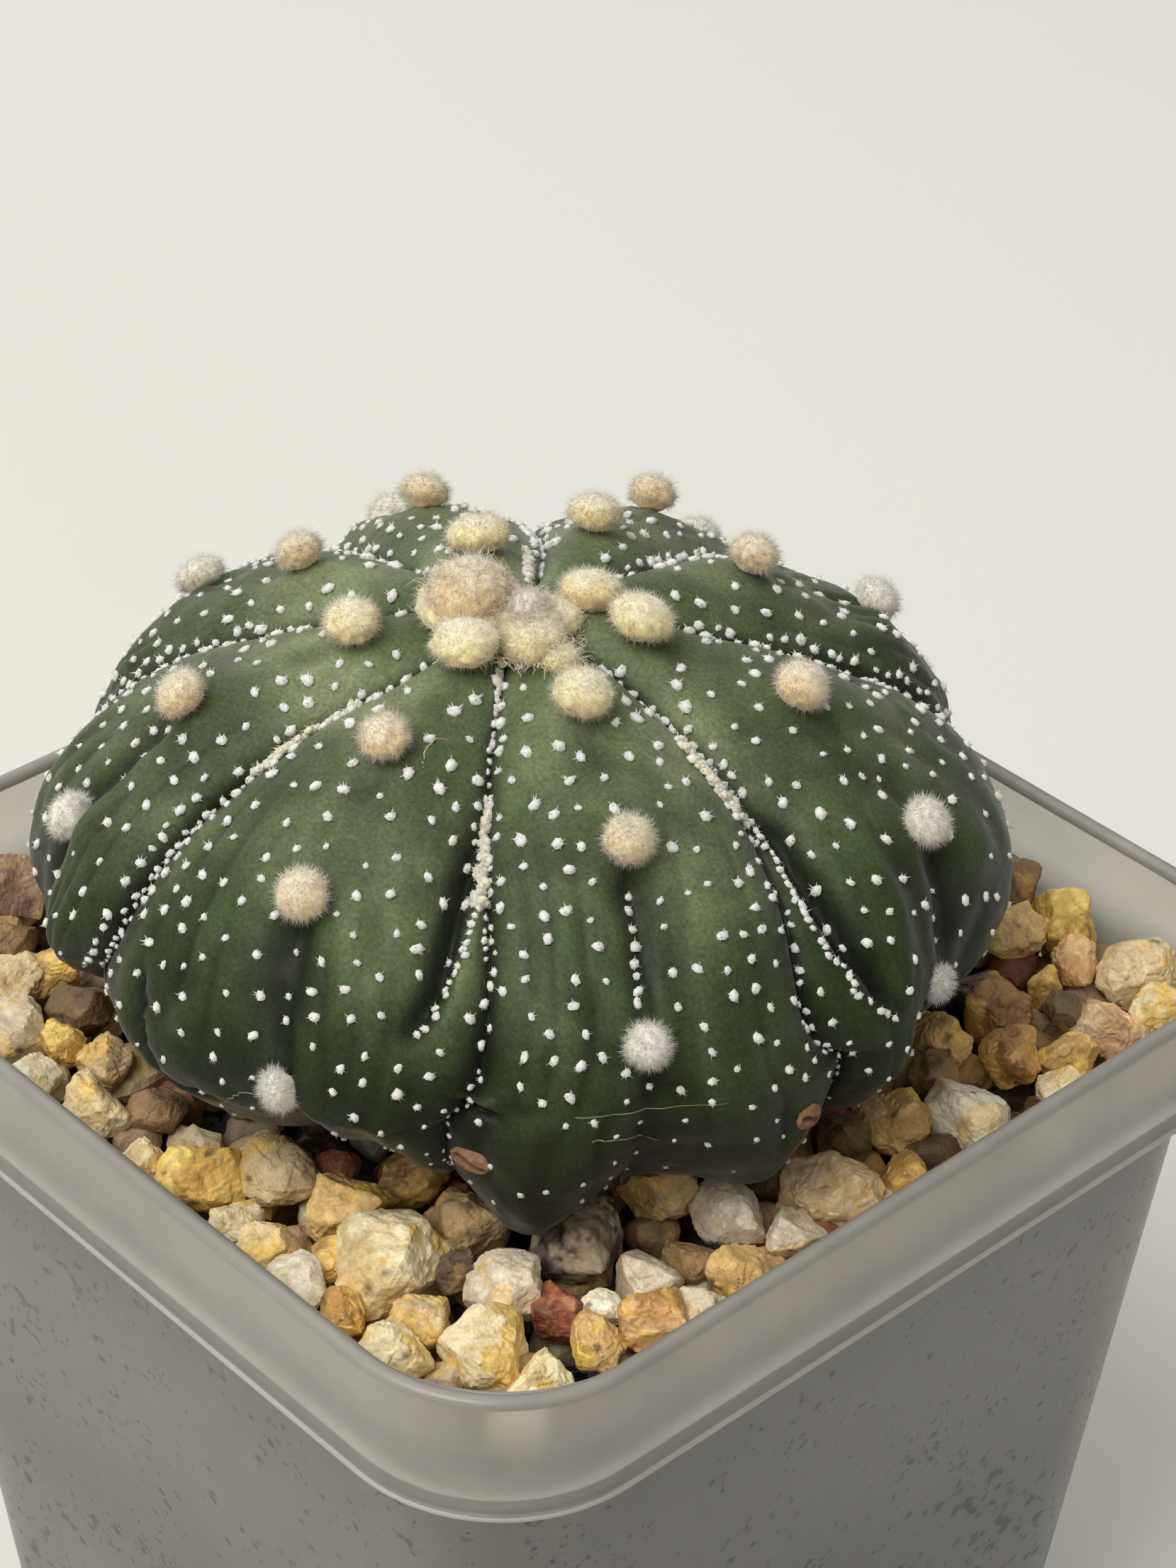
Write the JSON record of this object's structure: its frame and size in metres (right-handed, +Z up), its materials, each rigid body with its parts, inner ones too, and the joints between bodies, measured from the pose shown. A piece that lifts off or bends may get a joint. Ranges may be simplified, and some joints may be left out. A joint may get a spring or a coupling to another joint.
{
  "type": "potted fukuryu star cactus",
  "caption": "Low ribbed star cactus with woolly areoles, white fleck tufts and budding crown, bedded in angular gravel in a square frosted nursery pot.",
  "frame": {"origin": "middle of the pot's base, on the surface it stands on", "axes": "+Z up out of the pot; X and Y run along the pot's square sides"},
  "size_m": [0.075, 0.075, 0.1049],
  "materials": {
    "pot_plastic": "satin",
    "potting_mix": "matte",
    "gravel_stone": "matte",
    "cactus_skin": "satin",
    "plant_wool": "matte",
    "bud_hair": "matte"
  },
  "bodies": {
    "root": {"pot": "pot_plastic", "soil": "potting_mix", "gravel": "gravel_stone", "cactus": "cactus_skin", "crown_wool": "plant_wool", "flower_bud_large": "bud_hair", "flower_bud_small": "bud_hair"}
  },
  "joints": []
}
